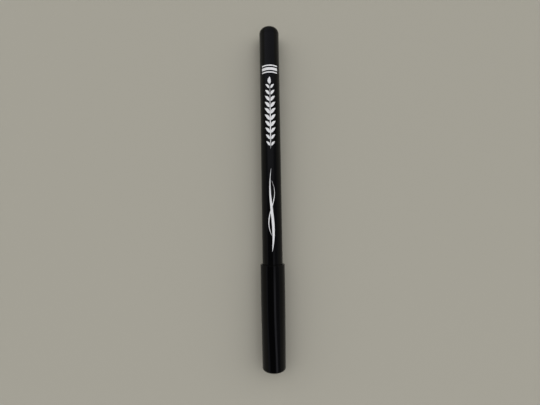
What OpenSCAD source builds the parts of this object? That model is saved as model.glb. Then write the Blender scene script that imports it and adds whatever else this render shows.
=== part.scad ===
// Capped liquid eyeliner pen, lying on its side with its tail toward +Y.
// Each piece is worked out about its own Z axis, from the tail end at 0 to the cap's end,
// and is then laid down along Y. Rear means toward the tail, front means toward the nib.

/* [Pen] */
// Length with the cap on
overall_len = 138; // [130:1:165]
// Outside diameter of the barrel
barrel_d = 8.1; // [7:0.1:9.4]
// Wall of the barrel
barrel_wall = 0.7; // [0.6:0.05:0.85]
// How far the barrel steps in under the cap, on each side
seat_step = 0.2; // [0.16:0.01:0.25]

/* [Tail plug] */
// Length of the head that shows
plug_head_len = 3; // [2.2:0.1:4.5]
// Radius of the rounded tail edge
plug_edge_r = 2; // [0.8:0.1:2.6]
// Thickness of the closed tail end
plug_end_t = 1.4; // [1:0.1:2]
// Length of the spigot in the barrel
plug_spigot_len = 5.8; // [4.5:0.1:9]
// Wall of the cored spigot
plug_wall = 0.95; // [0.6:0.05:1.2]

/* [Ink feed] */
// Diameter of the mixing ball
ball_d = 4; // [2.5:0.1:4.8]
// Diameter of the feed wick
wick_d = 1.6; // [1.2:0.05:1.8]
// How far the wick stands out behind the collector
wick_tail_len = 2.5; // [1:0.1:4]
// Number of collector fins
fin_count = 22; // [12:1:30]
// Thickness of one fin
fin_t = 0.45; // [0.3:0.05:0.6]
// Gap between two fins
fin_gap = 0.45; // [0.3:0.05:0.6]
// Thickness of the discs at both ends of the fins
end_disc_t = 1.2; // [0.8:0.1:2]
// Diameter of the core that carries the fins
core_d = 3.6; // [3:0.1:4.2]
// Width of the slit that leads ink in between the fins
ink_slit_w = 0.25; // [0.15:0.05:0.4]
// Width of the slot that lets air past the fins
air_slot_w = 0.9; // [0.5:0.1:1.4]

/* [Front section] */
// Length of the skirt in the barrel
skirt_len = 8; // [6.5:0.1:10]
// Wall of the skirt round the collector's spigot
skirt_wall = 0.6; // [0.45:0.05:0.8]
// Thickness of the flange on the barrel's front face
flange_t = 1.5; // [1:0.1:2]
// Length of the neck that the inner cap closes on
neck_len = 4.5; // [3.5:0.1:5.5]
// Length of the tapered nose
nose_len = 8; // [6:0.1:9.5]
// Wall of the nose at its tip
nose_tip_wall = 0.35; // [0.28:0.01:0.5]
// Number of air flutes along the nib
flute_count = 3; // [2:1:5]
// Diameter of the seal ring's wire
ring_wire_d = 0.6; // [0.45:0.05:0.75]

/* [Nib] */
// Diameter of the nib
nib_d = 2.2; // [2:0.05:2.6]
// Length that stands out of the nose
nib_out_len = 6; // [4.5:0.1:7]
// Length of the nib's tail in the nose
nib_tail_len = 12; // [9:0.1:14]
// Radius of the writing tip
nib_tip_r = 0.2; // [0.1:0.05:0.35]

/* [Cap] */
// Length of the cap
cap_len = 40.6; // [38:0.1:46]
// Wall of the cap at its mouth
cap_wall = 0.7; // [0.6:0.05:0.9]
// Wall at the closed end
cap_end_wall = 1; // [0.8:0.1:1.4]
// Gap round the barrel at the cap's mouth
mouth_gap = 0.12; // [0.08:0.01:0.2]
// Length of the straight stretch behind the mouth
cap_straight_len = 12.7; // [8:0.1:20]
// How far the side draws in from there to the end
cap_draw_in = 0.28; // [0:0.01:0.4]
// Radius of the rounded end edge
cap_edge_r = 0.7; // [0.4:0.05:1.1]
// Number of grip ribs inside the mouth
grip_rib_count = 6; // [4:1:10]
// Radius of a grip rib
grip_rib_r = 0.42; // [0.38:0.01:0.5]

/* [Inner cap] */
// Wall of the inner cap
inner_cap_wall = 0.5; // [0.4:0.05:0.6]
// Wall at the inner cap's closed end
inner_cap_end_wall = 0.8; // [0.6:0.1:1.1]
// Room in front of the nib's tip
tip_room = 1.5; // [1:0.1:2.5]
// How far the spring pushes the inner cap forward out of its seat
inner_cap_travel = 1.6; // [1:0.1:2]
// Length of the collar that the cap retains
collar_len = 1.4; // [1:0.1:2]
// Number of guide ribs behind the collar
guide_rib_count = 4; // [3:1:8]
// Width of a guide rib
guide_rib_w = 0.6; // [0.4:0.05:0.9]

/* [Spring] */
// Length of the spring with the cap on
spring_len = 3.9; // [3.2:0.1:4.8]
// Outside diameter of the spring
spring_d = 4.5; // [3.8:0.1:5.2]
// Diameter of the spring's wire
spring_wire_d = 0.35; // [0.25:0.05:0.45]
// Number of turns
spring_turns = 4; // [3:1:5]

/* [Hidden] */
$fn = 96;

// Clearances: pressed fits, sliding fits and free running
press_gap = 0.01;
slide_gap = 0.05;
free_gap = 0.1;
// Clearance of a plain spigot between its seal ribs
spigot_gap = 0.08;
// How far a cut runs past the piece that it cuts
overrun = 1;
// Lead-in chamfers and broken edges
lead_in = 0.3;
broken_edge = 0.15;
seam_edge = 0.06;

// Radii of the barrel and of what fits in its bore
barrel_r = barrel_d / 2;
seat_r = barrel_r - seat_step;
bore_r = barrel_r - barrel_wall;
spigot_r = bore_r - spigot_gap;
snap_bead_r = 0.2;
seal_rib_r = 0.15;

// Places along the pen that the cap's length fixes
cap_mouth = overall_len - cap_len;
cap_floor = overall_len - cap_end_wall;
inner_cap_front = cap_floor - spring_len;
inner_cap_floor = inner_cap_front - inner_cap_end_wall;
nib_tip = inner_cap_floor - tip_room;
nose_front = nib_tip - nib_out_len;
neck_front = nose_front - nose_len;
flange_front = neck_front - neck_len;
barrel_front = flange_front - flange_t;

// Barrel: the step to the seat starts just outside the cap's mouth
barrel_rear = plug_head_len;
seat_lead = 0.2;
seat_start = cap_mouth - seat_lead;

// Tail plug
plug_front = plug_head_len + plug_spigot_len;
plug_edge = min(plug_edge_r, plug_head_len - lead_in);
plug_bead_share = 0.72;
plug_rib_shares = [0.22, 0.42];
plug_bead_at = plug_head_len + plug_spigot_len * plug_bead_share;

// Front section
skirt_rear = barrel_front - skirt_len;
socket_share = 0.45;
socket_front = skirt_rear + skirt_len * socket_share;
socket_r = spigot_r - skirt_wall;
skirt_bead_at = (skirt_rear + socket_front) / 2;
ring_at = (socket_front + barrel_front) / 2;
ring_r = bore_r - press_gap - ring_wire_d / 2;
flange_step = 0.15;
flange_r = bore_r + flange_step;
neck_bead_r = 0.2;
neck_bead_at = (flange_front + neck_front) / 2;
nose_step = 0.1;
nib_r = nib_d / 2;
nib_bore_r = nib_r + press_gap;
nose_tip_r = nib_bore_r + nose_tip_wall;
flute_r = 0.18;
passage_gap = 0.15;

// Nib and wick
nib_rear = nose_front - nib_tail_len;
nib_shoulder_len = 0.8;
nib_steps = 8;
nib_curve = 1.5;
wick_r = wick_d / 2;
wick_bore_r = wick_r + slide_gap;
wick_plug_len = 2.4;
wick_tip_share = 0.55;
wick_tip_r = wick_r * wick_tip_share;
wick_front = nib_rear + wick_plug_len;
passage_r = wick_r + passage_gap;

// Collector
core_r = core_d / 2;
disc_r = bore_r - slide_gap;
fin_r = bore_r - free_gap;
fin_pitch = fin_t + fin_gap;
fins_len = fin_count * fin_pitch + fin_gap;
collector_front = skirt_rear - press_gap;
fins_rear = collector_front - end_disc_t - fins_len;
collector_rear = fins_rear - end_disc_t;
collector_spigot_r = socket_r - press_gap;
ink_slit_floor_share = 0.7;
ink_slit_floor = core_r * ink_slit_floor_share;
wick_rear = collector_rear - wick_tail_len;

// Mixing ball, lying at the bottom of the bore part of the way along the ink chamber
ball_r = ball_d / 2;
ball_drop = bore_r - ball_r - free_gap;
ball_place_share = 0.3;
ball_at = plug_front + (wick_rear - plug_front) * ball_place_share;

// Inner cap: it passes the flange's edge inset, and its collar runs behind the retaining bead
rim_inset = 0.25;
inner_cap_r = flange_r - rim_inset;
inner_bore_r = inner_cap_r - inner_cap_wall;
neck_r = inner_bore_r - slide_gap;
inner_cap_rim = flange_front + slide_gap;
bead_hold = 0.12;
retaining_r = flange_r + slide_gap;
collar_r = retaining_r + bead_hold;
retaining_bead_r = 0.25;
retaining_bead_at = flange_front + retaining_bead_r + free_gap;
collar_rear = retaining_bead_at + retaining_bead_r + free_gap + inner_cap_travel;
collar_front = collar_rear + collar_len;
guide_rib_len_share = 0.9;
guide_rib_len = (inner_cap_front - collar_front) * guide_rib_len_share;

// Cap: its bore closes in along a 45 degree cone that the barrel's lead-in chamfer comes up to.
// A point of that cone has seat_cone as the sum of its radius and its place along the pen.
chamber_r = collar_r + free_gap;
mouth_bore_r = barrel_r + mouth_gap;
cap_r = mouth_bore_r + cap_wall;
cap_end_r = cap_r - cap_draw_in;
cap_edge = min(cap_edge_r, cap_end_r);
seat_cone = seat_r + barrel_front - lead_in + free_gap * sqrt(2);
chamber_step_start = seat_cone - mouth_bore_r;
chamber_start = seat_cone - chamber_r;
rib_gap = 0.02;
grip_rib_at_r = seat_r + rib_gap + grip_rib_r;
grip_rib_inset = 1.5;
grip_rib_start = cap_mouth + grip_rib_inset;
grip_rib_ramp = 1.2;
grip_rib_h = mouth_bore_r - seat_r - rib_gap;
axis_h = cap_r;

// Spring and the two bosses that centre it
spring_r = (spring_d - spring_wire_d) / 2;
spring_start = inner_cap_front + slide_gap + spring_wire_d / 2;
spring_rise = spring_len - 2 * slide_gap - spring_wire_d;
spring_rings_per_turn = 16;
spring_ring_count = spring_turns * spring_rings_per_turn;
spring_sides = 8;
boss_r = spring_r - spring_wire_d / 2 - free_gap;
boss_len = 0.6;
post_len = 1.2;

// Lays a piece that stands on Z down along Y, with its rear end toward +Y
module lay() {
    translate([0, overall_len / 2, axis_h]) rotate([90, 0, 0]) children();
}

// Turns a profile, whose x is the radius and whose y is the place along the pen
module turned() {
    lay() rotate_extrude() children();
}

// A bead round a turned piece, or with a gap the groove that takes it
module bead(at_r, at, bead_r, gap = 0) {
    translate([at_r, at]) circle(r = bead_r + gap);
}

module barrel() {
    color("#1a1a1e") turned() difference() {
        polygon([
            [bore_r, barrel_rear],
            [barrel_r - seam_edge, barrel_rear],
            [barrel_r, barrel_rear + seam_edge],
            [barrel_r, seat_start],
            [seat_r, seat_start + seat_step],
            [seat_r, barrel_front - lead_in],
            [seat_r - lead_in, barrel_front],
            [bore_r, barrel_front]
        ]);
        bead(spigot_r, plug_bead_at, snap_bead_r, slide_gap);
        bead(spigot_r, skirt_bead_at, snap_bead_r, slide_gap);
    }
}

module plug_head() {
    translate([barrel_r - plug_edge, plug_edge]) intersection() {
        circle(r = plug_edge);
        translate([0, -plug_edge]) square(plug_edge);
    }
    square([barrel_r - plug_edge, plug_head_len]);
    polygon([
        [0, plug_edge],
        [barrel_r, plug_edge],
        [barrel_r, plug_head_len - seam_edge],
        [barrel_r - seam_edge, plug_head_len],
        [0, plug_head_len]
    ]);
}

module plug_spigot() {
    polygon([
        [0, plug_edge],
        [spigot_r, plug_edge],
        [spigot_r, plug_front - lead_in],
        [spigot_r - lead_in, plug_front],
        [0, plug_front]
    ]);
    for (share = plug_rib_shares) {
        rib_at = plug_head_len + plug_spigot_len * share;
        bead(bore_r - press_gap - seal_rib_r, rib_at, seal_rib_r);
    }
    bead(spigot_r, plug_bead_at, snap_bead_r);
}

module tail_plug() {
    color("#18181c") turned() difference() {
        union() {
            plug_head();
            plug_spigot();
        }
        translate([0, plug_end_t]) square([spigot_r - plug_wall, plug_front]);
    }
}

module mixing_ball() {
    color("silver") lay() translate([0, -ball_drop, ball_at]) sphere(r = ball_r);
}

// The comb's outline between the two end discs, four points to a fin
function comb_points() = [
    for (i = [0:fin_count - 1], corner = [[core_r, 0], [fin_r, 0], [fin_r, fin_t], [core_r, fin_t]])
        corner + [0, fins_rear + fin_gap + i * fin_pitch]
];

module collector_body() {
    rotate_extrude() polygon(concat(
        [
            [wick_bore_r, collector_rear],
            [disc_r - broken_edge, collector_rear],
            [disc_r, collector_rear + broken_edge],
            [disc_r, fins_rear],
            [core_r, fins_rear]
        ],
        comb_points(),
        [
            [core_r, collector_front - end_disc_t],
            [disc_r, collector_front - end_disc_t],
            [disc_r, collector_front],
            [collector_spigot_r, collector_front],
            [collector_spigot_r, socket_front - lead_in],
            [collector_spigot_r - broken_edge, socket_front - free_gap],
            [wick_bore_r, socket_front - free_gap]
        ]
    ));
}

// A slot of one width that runs along the collector, from a floor radius outward
module slot(width, floor_r, from, to) {
    translate([floor_r, -width / 2, from]) cube([bore_r, width, to - from]);
}

module collector() {
    color("#e8e4da") lay() difference() {
        collector_body();
        // Ink comes in from the chamber, through the rear disc
        rotate([0, 0, -90])
            slot(ink_slit_w, ink_slit_floor, collector_rear - overrun, collector_front - end_disc_t);
        // Air comes in from the nose, through the front disc
        rotate([0, 0, 90])
            slot(air_slot_w, core_r, fins_rear, collector_front - press_gap);
    }
}

// The wick's outline, or with a gap the socket that takes it in the nib
module wick_outline(gap, rear) {
    polygon([
        [0, rear],
        [wick_r + gap, rear],
        [wick_r + gap, nib_rear + lead_in],
        [wick_tip_r + gap, wick_front + gap],
        [0, wick_front + gap]
    ]);
}

module feed_wick() {
    color("#3a3a40") turned() wick_outline(0, wick_rear);
}

module section_outline() {
    difference() {
        polygon([
            [0, skirt_rear],
            [spigot_r - lead_in, skirt_rear],
            [spigot_r, skirt_rear + lead_in],
            [spigot_r, barrel_front],
            [flange_r, barrel_front],
            [flange_r, flange_front - broken_edge],
            [flange_r - broken_edge, flange_front],
            [neck_r, flange_front],
            [neck_r, neck_front - broken_edge],
            [neck_r - broken_edge, neck_front],
            [neck_r - nose_step - broken_edge, neck_front],
            [nose_tip_r, nose_front - broken_edge],
            [nose_tip_r - broken_edge, nose_front],
            [0, nose_front]
        ]);
        // Socket for the collector, passage for the wick and bore for the nib
        translate([0, skirt_rear - overrun]) square([socket_r, socket_front - skirt_rear + overrun]);
        square([passage_r, nib_rear]);
        translate([0, nib_rear]) square([nib_bore_r, nib_tail_len + overrun]);
        // Groove for the seal ring
        translate([ring_r - ring_wire_d / 2 - press_gap, ring_at - ring_wire_d / 2 - slide_gap])
            square([bore_r, ring_wire_d + 2 * slide_gap]);
    }
    bead(spigot_r, skirt_bead_at, snap_bead_r);
    bead(inner_bore_r - press_gap - neck_bead_r, neck_bead_at, neck_bead_r);
}

module front_section() {
    color("#202024") lay() difference() {
        rotate_extrude() section_outline();
        for (i = [0:flute_count - 1])
            rotate([0, 0, i * 360 / flute_count])
                translate([nib_bore_r, 0, socket_front - overrun])
                    cylinder(r = flute_r, h = nose_front - socket_front + 2 * overrun);
    }
}

module section_seal_ring() {
    color("#303034") turned() bead(ring_r, ring_at, ring_wire_d / 2);
}

// Radius of the nib at a share of the way from its shoulder to its rounded tip
function nib_radius(share) = nib_tip_r + (nib_r - nib_tip_r) * (1 - pow(share, nib_curve));

module nib() {
    taper_rear = nose_front + nib_shoulder_len;
    taper_len = nib_tip - nib_tip_r - taper_rear;
    color("#0e0e10") turned() difference() {
        union() {
            polygon(concat(
                [[0, nib_rear], [nib_r - broken_edge, nib_rear], [nib_r, nib_rear + broken_edge]],
                [for (i = [0:nib_steps]) [nib_radius(i / nib_steps), taper_rear + taper_len * i / nib_steps]],
                [[0, nib_tip - nib_tip_r]]
            ));
            intersection() {
                bead(0, nib_tip - nib_tip_r, nib_tip_r);
                translate([0, nib_tip - nib_tip_r]) square(nib_tip_r);
            }
        }
        wick_outline(slide_gap, nib_rear - overrun);
    }
}

module inner_cap_body() {
    rotate_extrude() difference() {
        polygon([
            [0, inner_cap_rim],
            [inner_cap_r, inner_cap_rim],
            [inner_cap_r, collar_rear],
            [collar_r - broken_edge, collar_rear],
            [collar_r, collar_rear + broken_edge],
            [collar_r, collar_front],
            [inner_cap_r, collar_front],
            [inner_cap_r, inner_cap_front - lead_in],
            [inner_cap_r - lead_in, inner_cap_front],
            [boss_r, inner_cap_front],
            [boss_r, inner_cap_front + boss_len],
            [0, inner_cap_front + boss_len]
        ]);
        polygon([
            [0, inner_cap_rim - overrun],
            [inner_bore_r + broken_edge, inner_cap_rim - overrun],
            [inner_bore_r + broken_edge, inner_cap_rim],
            [inner_bore_r, inner_cap_rim + broken_edge],
            [inner_bore_r, inner_cap_floor - lead_in],
            [inner_bore_r - lead_in, inner_cap_floor],
            [0, inner_cap_floor]
        ]);
    }
}

module inner_cap() {
    rib_root_r = inner_cap_r - inner_cap_wall / 2;
    color("#d8d8d4") lay() {
        inner_cap_body();
        for (i = [0:guide_rib_count - 1])
            rotate([0, 0, i * 360 / guide_rib_count])
                translate([rib_root_r, -guide_rib_w / 2, collar_front - broken_edge])
                    cube([collar_r - rib_root_r - slide_gap, guide_rib_w, guide_rib_len]);
    }
}

// Centre of the spring's wire at a ring of the tube
function coil_point(i) =
    let (turn = 360 * i / spring_rings_per_turn)
    [spring_r * cos(turn), spring_r * sin(turn), spring_start + spring_rise * i / spring_ring_count];

// One point on the wire's surface: outward from the axis at 0, and along the axis at 90 degrees
function coil_skin(i, side) =
    let (
        turn = 360 * i / spring_rings_per_turn,
        slope = atan(spring_rise / (spring_turns * 2 * PI * spring_r)),
        across = [cos(turn), sin(turn), 0],
        upward = [sin(turn) * sin(slope), -cos(turn) * sin(slope), cos(slope)],
        angle = 360 * side / spring_sides
    )
    coil_point(i) + spring_wire_d / 2 * (across * cos(angle) + upward * sin(angle));

// Least gap between two turns, measured on the rings' centres
spring_clear_gap = min([
    for (i = [0:spring_ring_count], j = [i + spring_rings_per_turn / 2:spring_ring_count])
        norm(coil_point(i) - coil_point(j))
]) - spring_wire_d;
echo("least gap between the spring's turns", spring_clear_gap);

module inner_cap_spring() {
    last_ring = spring_ring_count * spring_sides;
    color("#b8bcc0") lay() polyhedron(
        points = [
            for (i = [0:spring_ring_count], side = [0:spring_sides - 1]) coil_skin(i, side)
        ],
        faces = concat(
            [[for (side = [0:spring_sides - 1]) side]],
            [
                for (i = [0:spring_ring_count - 1], side = [0:spring_sides - 1])
                    let (ring = i * spring_sides, next = (side + 1) % spring_sides)
                    [ring + side, ring + spring_sides + side, ring + spring_sides + next, ring + next]
            ],
            [[for (side = [spring_sides - 1:-1:0]) last_ring + side]]
        )
    );
}

module cap_outline() {
    polygon([
        [0, cap_mouth],
        [cap_r - broken_edge, cap_mouth],
        [cap_r, cap_mouth + broken_edge],
        [cap_r, cap_mouth + cap_straight_len],
        [cap_end_r, overall_len - cap_edge],
        [0, overall_len - cap_edge]
    ]);
    bead(cap_end_r - cap_edge, overall_len - cap_edge, cap_edge);
    translate([0, overall_len - 2 * cap_edge]) square([cap_end_r - cap_edge, 2 * cap_edge]);
}

module cap_hollow() {
    polygon([
        [0, cap_mouth - overrun],
        [mouth_bore_r + broken_edge, cap_mouth - overrun],
        [mouth_bore_r + broken_edge, cap_mouth],
        [mouth_bore_r, cap_mouth + broken_edge],
        [mouth_bore_r, chamber_step_start],
        [chamber_r, chamber_start],
        [chamber_r, cap_floor],
        [0, cap_floor]
    ]);
}

// A rib that fades in from the mouth and holds the barrel's seat
module grip_rib() {
    translate([grip_rib_at_r, 0, grip_rib_start]) {
        cylinder(r1 = grip_rib_r - grip_rib_h, r2 = grip_rib_r, h = grip_rib_ramp);
        translate([0, 0, grip_rib_ramp])
            cylinder(r = grip_rib_r, h = chamber_step_start - grip_rib_start - grip_rib_ramp);
    }
}

module cap_shell() {
    color("#111114") lay() {
        rotate_extrude() {
            difference() {
                cap_outline();
                cap_hollow();
            }
            bead(retaining_r + retaining_bead_r, retaining_bead_at, retaining_bead_r);
            translate([0, cap_floor - post_len]) square([boss_r, post_len + cap_end_wall / 2]);
        }
        for (i = [0:grip_rib_count - 1])
            rotate([0, 0, i * 360 / grip_rib_count]) grip_rib();
    }
}

barrel();
tail_plug();
mixing_ball();
collector();
feed_wick();
front_section();
section_seal_ring();
nib();
inner_cap();
inner_cap_spring();
cap_shell();
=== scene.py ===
"""Looks of a capped liquid eyeliner pen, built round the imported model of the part."""

import math

import bpy
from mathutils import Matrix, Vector


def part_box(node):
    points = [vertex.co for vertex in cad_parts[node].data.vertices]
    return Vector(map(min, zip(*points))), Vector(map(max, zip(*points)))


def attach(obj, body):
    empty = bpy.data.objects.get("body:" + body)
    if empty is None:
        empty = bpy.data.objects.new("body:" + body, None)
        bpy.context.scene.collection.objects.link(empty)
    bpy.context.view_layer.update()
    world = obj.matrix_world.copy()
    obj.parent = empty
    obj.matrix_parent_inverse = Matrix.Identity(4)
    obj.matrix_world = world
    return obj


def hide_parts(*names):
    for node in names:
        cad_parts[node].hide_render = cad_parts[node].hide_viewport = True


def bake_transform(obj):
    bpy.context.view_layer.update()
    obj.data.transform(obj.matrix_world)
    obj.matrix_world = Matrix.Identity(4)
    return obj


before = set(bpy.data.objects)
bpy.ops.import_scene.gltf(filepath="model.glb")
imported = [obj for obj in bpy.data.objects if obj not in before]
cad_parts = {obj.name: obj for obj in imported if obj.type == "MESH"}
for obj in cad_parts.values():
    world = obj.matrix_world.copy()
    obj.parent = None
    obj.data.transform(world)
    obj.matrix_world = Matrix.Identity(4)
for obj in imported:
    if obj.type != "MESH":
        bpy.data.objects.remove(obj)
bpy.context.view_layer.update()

# One millimetre in the frame's metres
MM = 0.001

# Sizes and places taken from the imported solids
barrel_low, barrel_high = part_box("barrel")
plug_low, plug_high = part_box("tail_plug")
cap_low, cap_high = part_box("cap_shell")
nib_low, nib_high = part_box("nib")
spring_low, spring_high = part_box("inner_cap_spring")
BARREL_R = (barrel_high.x - barrel_low.x) / 2
AXIS_Z = (barrel_high.z + barrel_low.z) / 2
TAIL_Y = plug_high.y
MOUTH_Y = cap_high.y
CAP_END_Y = cap_low.y
NIB_TIP_Y = nib_low.y


# Shader nodes

def add_node(tree, kind, **settings):
    """Adds a shader node. A setting names one of its properties, or one of its inputs."""
    made = tree.nodes.new(kind)
    for name, value in settings.items():
        if hasattr(made, name):
            setattr(made, name, value)
        else:
            made.inputs[name.replace("_", " ")].default_value = value
    return made


class Nodes:
    """A node tree, and short ways to calculate in it. A value is a number or another node's output."""

    def __init__(self, tree):
        self.tree = tree

    def link(self, source, target):
        self.tree.links.new(source, target)

    def math(self, operation, *values):
        made = add_node(self.tree, "ShaderNodeMath", operation=operation)
        for socket, value in zip(made.inputs, values):
            if isinstance(value, (int, float)):
                socket.default_value = value
            else:
                self.link(value, socket)
        return made.outputs["Value"]

    def sum(self, first, second):
        return self.math("ADD", first, second)

    def difference(self, first, second):
        return self.math("SUBTRACT", first, second)

    def product(self, first, second):
        return self.math("MULTIPLY", first, second)

    def ramp(self, value, start, end, low=0.0, high=1.0):
        """Takes a value's range from start to end smoothly to the range from low to high."""
        made = add_node(self.tree, "ShaderNodeMapRange", interpolation_type="SMOOTHSTEP")
        for name, number in (("From Min", start), ("From Max", end), ("To Min", low), ("To Max", high)):
            made.inputs[name].default_value = number
        self.link(value, made.inputs["Value"])
        return made.outputs["Result"]


# Materials

# Most of a noise lies between these values
NOISE_SPREAD = (0.3, 0.7)


class Material(Nodes):
    """A node material on Principled BSDF, with its coordinates in millimetres of the frame."""

    def __init__(self, name, **shader_settings):
        self.data = bpy.data.materials.new(name)
        self.data.use_nodes = True
        super().__init__(self.data.node_tree)
        self.shader = self.tree.nodes["Principled BSDF"]
        for setting, value in shader_settings.items():
            self.shader.inputs[setting.replace("_", " ")].default_value = value
        place = add_node(self.tree, "ShaderNodeTexCoord")
        scale = add_node(self.tree, "ShaderNodeMapping")
        scale.inputs["Scale"].default_value = (1 / MM,) * 3
        self.link(place.outputs["Object"], scale.inputs["Vector"])
        self.place = scale.outputs["Vector"]

    def coordinate(self, axis):
        """The place along one of the frame's axes, in millimetres. The pen lies along Y."""
        split = add_node(self.tree, "ShaderNodeSeparateXYZ")
        self.link(self.place, split.inputs["Vector"])
        return split.outputs[axis]

    def noise(self, across, along=None, detail=3.0, roughness=0.5):
        """Soft noise from 0 to 1, with features this many millimetres across and along the pen."""
        stretch = add_node(self.tree, "ShaderNodeMapping")
        stretch.inputs["Scale"].default_value = (1 / across, 1 / (along or across), 1 / across)
        self.link(self.place, stretch.inputs["Vector"])
        made = add_node(self.tree, "ShaderNodeTexNoise", Scale=1.0, Detail=detail, Roughness=roughness)
        self.link(stretch.outputs["Vector"], made.inputs["Vector"])
        return made.outputs["Fac"]

    def mix(self, share, low, high):
        """Mixes two colours by a share. Each colour is a triple or another node's output."""
        made = add_node(self.tree, "ShaderNodeMix", data_type="RGBA")
        share_socket, low_socket, high_socket = made.inputs[0], made.inputs[6], made.inputs[7]
        self.link(share, share_socket)
        for socket, colour in ((low_socket, low), (high_socket, high)):
            if isinstance(colour, tuple):
                socket.default_value = (*colour, 1.0)
            else:
                self.link(colour, socket)
        return made.outputs[2]

    def colour(self, source):
        self.link(source, self.shader.inputs["Base Color"])

    def roughness(self, source):
        self.link(source, self.shader.inputs["Roughness"])

    def uneven_roughness(self, patch, low, high, detail=3.0):
        """Roughness from low to high, in patches of this size in millimetres."""
        self.roughness(self.ramp(self.noise(patch, detail=detail), *NOISE_SPREAD, low, high))

    def bump(self, *layers):
        """Stacks bump layers, each one a height from 0 to 1 and what that stands for in millimetres."""
        normal = None
        for height, rise in layers:
            made = add_node(self.tree, "ShaderNodeBump", Distance=rise * MM)
            self.link(height, made.inputs["Height"])
            if normal is not None:
                self.link(normal, made.inputs["Normal"])
            normal = made.outputs["Normal"]
        self.link(normal, self.shader.inputs["Normal"])


# Specular level of the black pieces, low because the photograph's blacks are deep
BLACK_SPECULAR = 0.15

# Colours: a pair is what noise varies between
LACQUER = ((0.0013, 0.0013, 0.0014), (0.002, 0.002, 0.0022))
LACQUER_NICK = (0.006, 0.006, 0.0065)
MOULDED = ((0.001, 0.001, 0.0011), (0.0016, 0.0016, 0.0017))
MOULDED_NICK = (0.005, 0.005, 0.005)
NATURAL_WHITE = ((0.72, 0.72, 0.69), (0.8, 0.8, 0.77))
IVORY = ((0.78, 0.74, 0.66), (0.83, 0.8, 0.72))
INK_STAIN = (0.02, 0.02, 0.022)
WICK = ((0.02, 0.02, 0.022), (0.06, 0.06, 0.065))
NIB = ((0.003, 0.003, 0.0035), (0.014, 0.014, 0.015))
SEAL = ((0.018, 0.018, 0.019), (0.03, 0.03, 0.031))
STEEL = ((0.56, 0.56, 0.57), (0.66, 0.66, 0.66))
PRINT_WHITE = ((0.66, 0.66, 0.66), (0.74, 0.74, 0.74))
THIN_PRINT = (0.5, 0.5, 0.5)

# Stretches of the pen that the collector's stain and the nib's wet end fade over, in millimetres
STAIN_HEIGHTS = (-3.2, -0.6)
WET_END = (-0.5, 3.5)


def wear(material, place, reach):
    """Sparse small nicks along an edge that goes round the pen. Place and reach are in millimetres."""
    away = material.math("ABSOLUTE", material.difference(material.coordinate("Y"), place))
    near = material.ramp(away, 0.0, reach, low=1.0, high=0.0)
    nicks = material.ramp(material.noise(0.14, detail=2.0, roughness=0.6), start=0.6, end=0.68)
    return material.product(near, nicks)


def smudges(material, low, high):
    """Roughness from low to high, in soft patches such as fingers leave."""
    broad = material.noise(across=5.0, along=11.0, detail=4.0, roughness=0.55)
    return material.ramp(broad, 0.38, 0.66, low, high)


def scratches(material, across, along):
    """Sparse hairlines that run along the pen."""
    return material.ramp(material.noise(across, along, detail=2.0, roughness=0.7), start=0.66, end=0.74)


def lacquer():
    """Satin black lacquer on the barrel: orange peel, handling marks, nicks where the mouth rubs."""
    made = Material("barrel_lacquer", Specular_IOR_Level=BLACK_SPECULAR)
    worn = wear(made, MOUTH_Y / MM, reach=0.5)
    tint = made.mix(made.noise(across=9.0, along=30.0), *LACQUER)
    made.colour(made.mix(worn, tint, LACQUER_NICK))
    hairlines = scratches(made, across=0.12, along=9.0)
    dull = made.sum(smudges(made, 0.1, 0.17), made.product(hairlines, 0.12))
    made.roughness(made.sum(dull, made.product(worn, 0.2)))
    made.bump(
        (made.noise(0.45, detail=2.0), 0.004),
        (made.noise(0.08, detail=1.0), 0.0006),
        (hairlines, -0.0008),
    )
    return made.data


def moulded_black(name, gloss, edges=()):
    """Black moulded plastic: low grain, handling marks, and nicks on the edges given in millimetres."""
    made = Material(name, Specular_IOR_Level=BLACK_SPECULAR)
    tint = made.mix(made.noise(across=6.0, along=18.0), *MOULDED)
    hairlines = scratches(made, across=0.1, along=7.0)
    dull = made.sum(smudges(made, gloss, gloss + 0.08), made.product(hairlines, 0.14))
    relief = [(made.noise(0.3, detail=2.0), 0.0015), (hairlines, -0.0006)]
    for place, reach in edges:
        worn = wear(made, place, reach)
        tint = made.mix(worn, tint, MOULDED_NICK)
        dull = made.sum(dull, made.product(worn, 0.15))
        relief.append((worn, -0.002))
    made.colour(tint)
    made.roughness(dull)
    made.bump(*relief)
    return made.data


def inner_cap_plastic():
    """Uncoloured moulded plastic that light enters a little way."""
    made = Material(
        "inner_cap_plastic",
        Subsurface_Weight=0.4,
        Subsurface_Scale=0.6 * MM,
        Subsurface_Radius=(1.0, 0.9, 0.75),
    )
    made.colour(made.mix(made.noise(across=2.5, along=5.0), *NATURAL_WHITE))
    made.uneven_roughness(0.8, 0.32, 0.44)
    made.bump((made.noise(0.25), 0.002))
    return made.data


def collector_plastic():
    """Ivory plastic, stained with ink in its lower half."""
    made = Material("collector_plastic", Subsurface_Weight=0.15, Subsurface_Scale=0.5 * MM)
    low_end, high_end = (AXIS_Z / MM + height for height in STAIN_HEIGHTS)
    depth = made.ramp(made.coordinate("Z"), low_end, high_end, low=1.0, high=0.0)
    blotches = made.ramp(made.noise(across=0.5, along=1.2), 0.35, 0.6, low=0.35)
    clean = made.mix(made.noise(1.5), *IVORY)
    made.colour(made.mix(made.product(depth, blotches), clean, INK_STAIN))
    made.uneven_roughness(0.6, 0.35, 0.5)
    made.bump((made.noise(0.2), 0.0015))
    return made.data


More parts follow.
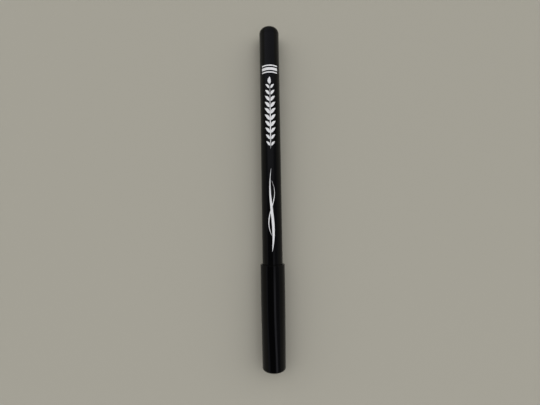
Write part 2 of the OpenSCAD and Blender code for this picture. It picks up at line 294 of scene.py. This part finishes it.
def inked_fibre(name, tones, bundle, wet_tip=None):
    """Fine fibres that run along the pen, soaked with black ink, and shinier at a wet tip."""
    made = Material(name, Specular_IOR_Level=0.5)
    fibres = made.noise(across=bundle, along=bundle * 40, detail=4.0, roughness=0.7)
    made.colour(made.mix(made.ramp(fibres, *NOISE_SPREAD), *tones))
    dull = made.ramp(fibres, *NOISE_SPREAD, 0.42, 0.68)
    if wet_tip is not None:
        start, end = (wet_tip + reach for reach in WET_END)
        dull = made.product(dull, made.ramp(made.coordinate("Y"), start, end, low=0.55))
    made.roughness(dull)
    made.bump((fibres, 0.02))
    return made.data


def rubber():
    """Dull black rubber."""
    made = Material("seal_rubber", Specular_IOR_Level=0.35)
    made.colour(made.mix(made.noise(0.4), *SEAL))
    made.uneven_roughness(0.15, 0.6, 0.8)
    made.bump((made.noise(0.08), 0.003))
    return made.data


def steel(name, grain, low, high):
    """Bright stainless steel with a fine grain and roughness from low to high."""
    made = Material(name, Metallic=1.0)
    made.colour(made.mix(made.noise(grain * 8), *STEEL))
    made.uneven_roughness(grain, low, high, detail=4.0)
    made.bump((made.noise(grain, detail=2.0), 0.0004))
    return made.data


def screen_print():
    """White screen print: slightly uneven ink with small thin spots."""
    made = Material("print_white", Specular_IOR_Level=0.4)
    thin = made.ramp(made.noise(0.25, detail=4.0, roughness=0.7), start=0.62, end=0.75)
    cover = made.mix(made.noise(across=3.0, along=6.0), *PRINT_WHITE)
    made.colour(made.mix(thin, cover, THIN_PRINT))
    made.uneven_roughness(0.6, 0.4, 0.55)
    made.bump((made.noise(0.12), 0.002))
    return made.data


tail_edge = (TAIL_Y / MM, 0.8)
mouth_edge = (MOUTH_Y / MM, 0.22)
cap_end_edge = (CAP_END_Y / MM + 0.3, 0.6)
finishes = {
    "barrel": lacquer(),
    "tail_plug": moulded_black("plug_plastic", gloss=0.1, edges=[tail_edge]),
    "cap_shell": moulded_black("cap_plastic", gloss=0.06, edges=[mouth_edge, cap_end_edge]),
    "front_section": moulded_black("section_plastic", gloss=0.16),
    "inner_cap": inner_cap_plastic(),
    "collector": collector_plastic(),
    "feed_wick": inked_fibre("wick_fibre", WICK, bundle=0.07),
    "nib": inked_fibre("nib_fibre", NIB, bundle=0.1, wet_tip=NIB_TIP_Y / MM),
    "section_seal_ring": rubber(),
    "mixing_ball": steel("ball_steel", grain=0.2, low=0.08, high=0.16),
}
for node, finish in finishes.items():
    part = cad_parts[node]
    part.data.materials.clear()
    part.data.materials.append(finish)
    for polygon in part.data.polygons:
        polygon.material_index = 0


def add_piece(name, points, faces, finish):
    """Makes an object of its own from a mesh, with one material."""
    mesh = bpy.data.meshes.new(name)
    mesh.from_pydata(points, [], faces)
    mesh.materials.append(finish)
    piece = bpy.data.objects.new(name, mesh)
    bpy.context.scene.collection.objects.link(piece)
    return piece


# Spring behind the inner cap: closed end turns, ground flat, and open turns between them

SPRING_WIRE_R = 0.175 * MM
SPRING_OPEN_TURNS = 4
# A closed turn rises by a little more than the wire
SPRING_CLOSED_TURNS = 0.75
SPRING_CLOSED_PITCH = 0.36 * MM
# How much of the wire's radius the ground ends keep
SPRING_GROUND_SHARE = 0.5
SPRING_TURN_STEPS = 36
SPRING_SIDES = 12


def spring_rise():
    """Height of the wire's centre above the ground end, at each step along the spring."""
    turns = SPRING_OPEN_TURNS + 2 * SPRING_CLOSED_TURNS
    height = spring_high.y - spring_low.y - 2 * SPRING_GROUND_SHARE * SPRING_WIRE_R
    open_pitch = (height - 2 * SPRING_CLOSED_TURNS * SPRING_CLOSED_PITCH) / SPRING_OPEN_TURNS
    rise = [SPRING_GROUND_SHARE * SPRING_WIRE_R]
    for step in range(round(turns * SPRING_TURN_STEPS)):
        turn = (step + 0.5) / SPRING_TURN_STEPS
        closed = min(turn, turns - turn) < SPRING_CLOSED_TURNS
        rise.append(rise[-1] + (SPRING_CLOSED_PITCH if closed else open_pitch) / SPRING_TURN_STEPS)
    return rise


def build_spring():
    """The wire is a tube round a helix. Vertices past the ground ends are brought back to them."""
    coil_r = (spring_high.x - spring_low.x) / 2 - SPRING_WIRE_R
    points = []
    faces = []
    rises = spring_rise()
    for step, rise in enumerate(rises):
        turn = 2 * math.pi * step / SPRING_TURN_STEPS
        for side in range(SPRING_SIDES):
            angle = 2 * math.pi * side / SPRING_SIDES
            radius = coil_r + SPRING_WIRE_R * math.cos(angle)
            y = spring_low.y + rise + SPRING_WIRE_R * math.sin(angle)
            y = min(max(y, spring_low.y), spring_high.y)
            points.append((radius * math.cos(turn), y, AXIS_Z + radius * math.sin(turn)))
    for step in range(len(rises) - 1):
        ring = step * SPRING_SIDES
        for side in range(SPRING_SIDES):
            ahead = (side + 1) % SPRING_SIDES
            next_ring = ring + SPRING_SIDES
            faces.append((ring + side, next_ring + side, next_ring + ahead, ring + ahead))
    last_ring = (len(rises) - 1) * SPRING_SIDES
    faces.append(tuple(range(SPRING_SIDES)))
    faces.append(tuple(last_ring + side for side in reversed(range(SPRING_SIDES))))
    finish = steel("spring_steel", grain=0.1, low=0.2, high=0.32)
    spring = add_piece("closed_end_spring", points, faces, finish)
    spring.data.shade_smooth()
    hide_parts("inner_cap_spring")
    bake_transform(spring)


build_spring()


# Print on the barrel: generic bands, a sprig and two strokes, none of it lettering. Sizes are in
# millimetres, and places along the barrel are the frame's Y

PRINT_RISE = 0.02 * MM
PRINT_SINK = 0.03 * MM
PRINT_TURN = math.radians(-2)
# Each band's place and thickness
PRINT_BANDS = ((51.6, 0.5), (50.2, 1.1), (48.8, 0.5))
PRINT_BAND_REACH = 3.4
STEM_START = 17.5
STEM_END = 44.9
STEM_WIDTH = 0.42
LEAF_PAIRS = 10
LEAF_ROOTS = (18.7, 42.1)
LEAF_SIDEWAYS = 0.32
LEAF_TURN = 38
LEAF_LENGTH = 3.1
LEAF_WIDTH = 1.15
# The first and last leaves have this share of the full size
LEAF_SMALLEST = 0.75
# A leaf bends to its side by this share of its length
LEAF_BOW = 0.08
TOP_LEAF_ROOT = 43.9
TOP_LEAF_LENGTH = 3.0
TOP_LEAF_WIDTH = 1.3


class Print:
    """Closed thin patches that lie on the barrel, gathered into one mesh."""

    def __init__(self):
        self.points = []
        self.faces = []

    def add_layer(self, outline, columns, rows, radius):
        """Adds a patch's points at one radius, and gives their numbers by row and column."""
        layer = []
        for row in range(rows + 1):
            line = []
            for column in range(columns + 1):
                across, along = outline(column / columns, row / rows)
                turn = across * MM / BARREL_R + PRINT_TURN
                line.append(len(self.points))
                across_axis = radius * math.sin(turn)
                height = AXIS_Z + radius * math.cos(turn)
                self.points.append((across_axis, along * MM, height))
            layer.append(line)
        return layer

    def add(self, outline, columns, rows):
        """Adds a patch. Its outline turns two shares from 0 to 1 into places round and along the pen."""
        top = self.add_layer(outline, columns, rows, BARREL_R + PRINT_RISE)
        bottom = self.add_layer(outline, columns, rows, BARREL_R - PRINT_SINK)
        for row in range(rows):
            for column in range(columns):
                corners = [(row, column), (row, column + 1), (row + 1, column + 1), (row + 1, column)]
                self.faces.append([top[r][c] for r, c in corners])
                self.faces.append([bottom[r][c] for r, c in reversed(corners)])
        rim = [(0, c) for c in range(columns)]
        rim += [(r, columns) for r in range(rows)]
        rim += [(rows, c) for c in range(columns, 0, -1)]
        rim += [(r, 0) for r in range(rows, 0, -1)]
        for (row, column), (next_row, next_column) in zip(rim, rim[1:] + rim[:1]):
            self.faces.append([
                top[next_row][next_column],
                top[row][column],
                bottom[row][column],
                bottom[next_row][next_column],
            ])

    def build(self, name, finish):
        piece = add_piece(name, self.points, self.faces, finish)
        piece.data.validate()
        piece.data.update()
        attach(piece, "pen")


def swell(share, tip, lean, fall):
    """Share of the full width along a shape whose ends keep only the share tip. A lean under 1 moves
    the widest place toward the start, and a larger fall narrows the shape faster on both sides of it."""
    return tip + (1 - tip) * math.sin(math.pi * share ** lean) ** fall


def stroke(start, end, widest, sway):
    """A brush stroke along the barrel that swells from both ends and sways to one side and back."""
    def outline(u, v):
        middle = sway * math.sin(math.pi * v) * (0.5 - v) * 2
        half = widest / 2 * swell(v, tip=0.08, lean=0.7, fall=1.2)
        return middle + half * (2 * u - 1), start + (end - start) * v
    return outline


def leaf(root_across, root_along, length, width, turn):
    """A pointed leaf that starts at its root and points turn degrees away from the tail's direction."""
    way = Vector((math.sin(math.radians(turn)), math.cos(math.radians(turn))))
    side = Vector((way.y, -way.x))
    bend = LEAF_BOW * length * (1 if turn < 0 else -1)

    def outline(u, v):
        half = width / 2 * swell(v, tip=0.03, lean=0.85, fall=0.9)
        point = way * (length * v) + side * (half * (2 * u - 1) + bend * math.sin(math.pi * v))
        return root_across + point.x, root_along + point.y
    return outline


def band(along, thickness, reach):
    """A band across the barrel, with this reach to each side of the print's middle."""
    def outline(u, v):
        return reach * (2 * u - 1), along + thickness * (v - 0.5)
    return outline


def build_bands(finish):
    bands = Print()
    for along, thickness in PRINT_BANDS:
        bands.add(band(along, thickness, PRINT_BAND_REACH), columns=24, rows=2)
    bands.build("barrel_print_bands", finish)


def build_sprig(finish):
    """A stem with pairs of leaves, the longest ones in its middle, and one leaf on its top."""
    sprig = Print()
    sprig.add(stroke(STEM_START, STEM_END, STEM_WIDTH, sway=0.0), columns=4, rows=60)
    first_root, last_root = LEAF_ROOTS
    for pair in range(LEAF_PAIRS):
        share = pair / (LEAF_PAIRS - 1)
        root = first_root + (last_root - first_root) * share
        size = LEAF_SMALLEST + (1 - LEAF_SMALLEST) * math.sin(math.pi * share)
        for side in (-1, 1):
            length = LEAF_LENGTH * size
            width = LEAF_WIDTH * size
            shape = leaf(side * LEAF_SIDEWAYS, root, length, width, side * LEAF_TURN)
            sprig.add(shape, columns=6, rows=14)
    sprig.add(leaf(0.0, TOP_LEAF_ROOT, TOP_LEAF_LENGTH, TOP_LEAF_WIDTH, turn=0.0), columns=6, rows=14)
    sprig.build("barrel_print_sprig", finish)


def build_strokes(finish):
    strokes = Print()
    strokes.add(stroke(start=-23.0, end=9.5, widest=1.0, sway=1.6), columns=6, rows=90)
    strokes.add(stroke(start=-17.0, end=5.0, widest=0.4, sway=-3.4), columns=4, rows=70)
    strokes.build("barrel_print_stroke", finish)


print_finish = screen_print()
build_bands(print_finish)
build_sprig(print_finish)
build_strokes(print_finish)


# Camera at the photograph's place, in millimetres from a point on the pen's axis

CAMERA_PLACE = (-4.1, -11.2, 121.4)
CAMERA_TURN = (0.0622, -0.0273, -0.0156)
FOCAL_MM = 20.0
SENSOR_MM = 36.0
CLIP_START = 0.01
CLIP_END = 10.0

camera_data = bpy.data.cameras.new("camera")
camera_data.lens = FOCAL_MM
camera_data.sensor_width = SENSOR_MM
camera_data.clip_start = CLIP_START
camera_data.clip_end = CLIP_END
camera = bpy.data.objects.new("camera", camera_data)
camera.location = Vector(CAMERA_PLACE) * MM + Vector((0, 0, AXIS_Z))
camera.rotation_euler = CAMERA_TURN
bpy.context.scene.collection.objects.link(camera)
bpy.context.scene.camera = camera


# Floor: it touches the cap's mouth and the tail, so it slopes a little in the pen's frame

FLOOR_HALF = 3.0
FLOOR_DIM = (0.365, 0.35, 0.29)
FLOOR_LIGHT = (0.393, 0.377, 0.316)
# Size in millimetres of the floor's faint change of tone
FLOOR_PATCH = 400
# The tail's edge is round, so the barrel's full width ends about this far before the tail's end
TAIL_ROUNDING = 2 * MM

barrel_lift = barrel_low.z - cap_low.z
slope = barrel_lift / (TAIL_Y - TAIL_ROUNDING - MOUTH_Y)


def floor_height(y):
    return cap_low.z + (y - MOUTH_Y) * slope


def build_floor():
    corners = ((-1, -1), (1, -1), (1, 1), (-1, 1))
    mesh = bpy.data.meshes.new("floor")
    mesh.from_pydata(
        [(x * FLOOR_HALF, y * FLOOR_HALF, floor_height(y * FLOOR_HALF)) for x, y in corners],
        [],
        [(0, 1, 2, 3)],
    )
    floor = bpy.data.objects.new("floor", mesh)
    bpy.context.scene.collection.objects.link(floor)
    made = Material("floor_paper", Specular_IOR_Level=0.15, Roughness=0.9)
    made.colour(made.mix(made.noise(FLOOR_PATCH, detail=1.0), FLOOR_DIM, FLOOR_LIGHT))
    mesh.materials.append(made.data)


build_floor()


# Light: a broad soft sun from each side carries the level, and the surround draws the highlights

SUN_SPREAD = 76
RIGHT_SUN = (1.25, 1.0, 1.0)
RIGHT_LEVEL = 0.325
LEFT_SUN = (-1.25, 1.0, 1.0)
LEFT_LEVEL = 0.295


def soft_sun(name, toward, level):
    """A sun with a soft edge. Level is the share of full light that it gives to the floor."""
    lamp = bpy.data.lights.new(name, "SUN")
    way = Vector(toward).normalized()
    lamp.energy = level * math.pi / way.z
    lamp.angle = math.radians(SUN_SPREAD)
    placed = bpy.data.objects.new(name, lamp)
    placed.location = way
    placed.rotation_mode = "QUATERNION"
    placed.rotation_quaternion = way.to_track_quat("Z", "Y")
    placed.visible_glossy = False
    bpy.context.scene.collection.objects.link(placed)


soft_sun("right_light", RIGHT_SUN, RIGHT_LEVEL)
soft_sun("left_light", LEFT_SUN, LEFT_LEVEL)


# The surround, as a mirror on the pen would show it. Levels are shares of white. A direction's place
# along the pen is 1 toward the tail and -1 toward the cap's end, and its height is 1 straight up. Its
# turn is in degrees round the pen from straight up, positive toward +X

# The ceiling over the tail half, with its levels on the two sides
CEILING = (0.72, 0.47)
CEILING_SIDES = (-60, 60)
# Its middle and its reach to both sides, before and beyond the places where it widens
CEILING_MIDDLE = (-6, 0)
CEILING_REACH = (34, 68)
CEILING_WIDENS = (0.2, 0.5)
# Half the width of its soft edge
CEILING_EDGE = 12
WALL = 0.15
# The gap over the cap half has this share of the wall's level
GAP = (-50, 5)
GAP_SHARE = 0.12
# What is added to the wall over the cap half: a low band on each side, and a strip beside the gap
SIDE_BANDS = (((-80, -54), 0.25), ((54, 110), 0.14))
STRIP = (6, 23)
# The strip has its full level toward the cap's end and fades toward the middle
STRIP_LEVELS = (0.95, 0.25)
STRIP_ALONG = (-0.25, -0.08)
# The gap, the bands and the strip turn by this much more toward the cap's end
DRIFT = 15
DRIFT_ALONG = (-0.5, -0.3)
# Half the width of the other soft edges
EDGE = 4
# Where the cap half's surround goes over into the tail half's
MIDDLE = (0.05, 0.2)
COOL_TINT = (0.98, 0.98, 1.1)
# The cove goes on from the floor, up to these heights
COVE = tuple((dim + light) / 2 for dim, light in zip(FLOOR_DIM, FLOOR_LIGHT))
COVE_HEIGHT = (0.34, 0.5)


class Surround(Nodes):
    """The world's node tree, with a direction's place along the pen, its height and its turn."""

    def __init__(self):
        world = bpy.data.worlds.new("surround")
        bpy.context.scene.world = world
        world.use_nodes = True
        super().__init__(world.node_tree)
        direction = add_node(self.tree, "ShaderNodeTexCoord")
        split = add_node(self.tree, "ShaderNodeSeparateXYZ")
        self.link(direction.outputs["Generated"], split.inputs["Vector"])
        self.along = split.outputs["Y"]
        self.height = split.outputs["Z"]
        self.turn = self.math("DEGREES", self.math("ARCTAN2", split.outputs["X"], self.height))

    def blend(self, share, low, high):
        """Low where the share is 0, high where it is 1."""
        rest = self.product(self.difference(1.0, share), low)
        return self.sum(rest, self.product(share, high))

    def zone(self, turn, reach):
        """1 where the turn is between two angles, with soft edges."""
        rise, fall = (self.ramp(turn, angle - EDGE, angle + EDGE) for angle in reach)
        return self.difference(rise, fall)

    def tail_half(self):
        """A bright ceiling, with the wall beyond its reach."""
        middle = self.ramp(self.along, *CEILING_WIDENS, *CEILING_MIDDLE)
        reach = self.ramp(self.along, *CEILING_WIDENS, *CEILING_REACH)
        beyond = self.difference(self.math("ABSOLUTE", self.difference(self.turn, middle)), reach)
        ceiling = self.ramp(self.turn, *CEILING_SIDES, *CEILING)
        return self.blend(self.ramp(beyond, -CEILING_EDGE, CEILING_EDGE), ceiling, WALL)

    def cap_half(self):
        """The wall with a dark gap overhead, a low band on each side and a strip beside the gap."""
        drifted = self.difference(self.turn, self.ramp(self.along, *DRIFT_ALONG, DRIFT, 0.0))
        level = self.ramp(self.zone(drifted, GAP), 0.0, 1.0, WALL, WALL * GAP_SHARE)
        for reach, added in SIDE_BANDS:
            level = self.sum(level, self.product(self.zone(drifted, reach), added))
        strip_level = self.ramp(self.along, *STRIP_ALONG, *STRIP_LEVELS)
        return self.sum(level, self.product(self.zone(drifted, STRIP), strip_level))

    def colour(self):
        """Both halves, with the plain cove below them."""
        toward_tail = self.ramp(self.along, *MIDDLE)
        overhead = self.blend(toward_tail, self.cap_half(), self.tail_half())
        above_cove = self.ramp(self.height, *COVE_HEIGHT)
        made = add_node(self.tree, "ShaderNodeCombineColor")
        for channel, cove, tint in zip(("Red", "Green", "Blue"), COVE, COOL_TINT):
            tinted = self.product(overhead, tint)
            self.link(self.blend(above_cove, cove, tinted), made.inputs[channel])
        return made.outputs["Color"]


surround = Surround()
surround.link(surround.colour(), surround.tree.nodes["Background"].inputs["Color"])

bpy.context.scene.view_settings.view_transform = "Standard"
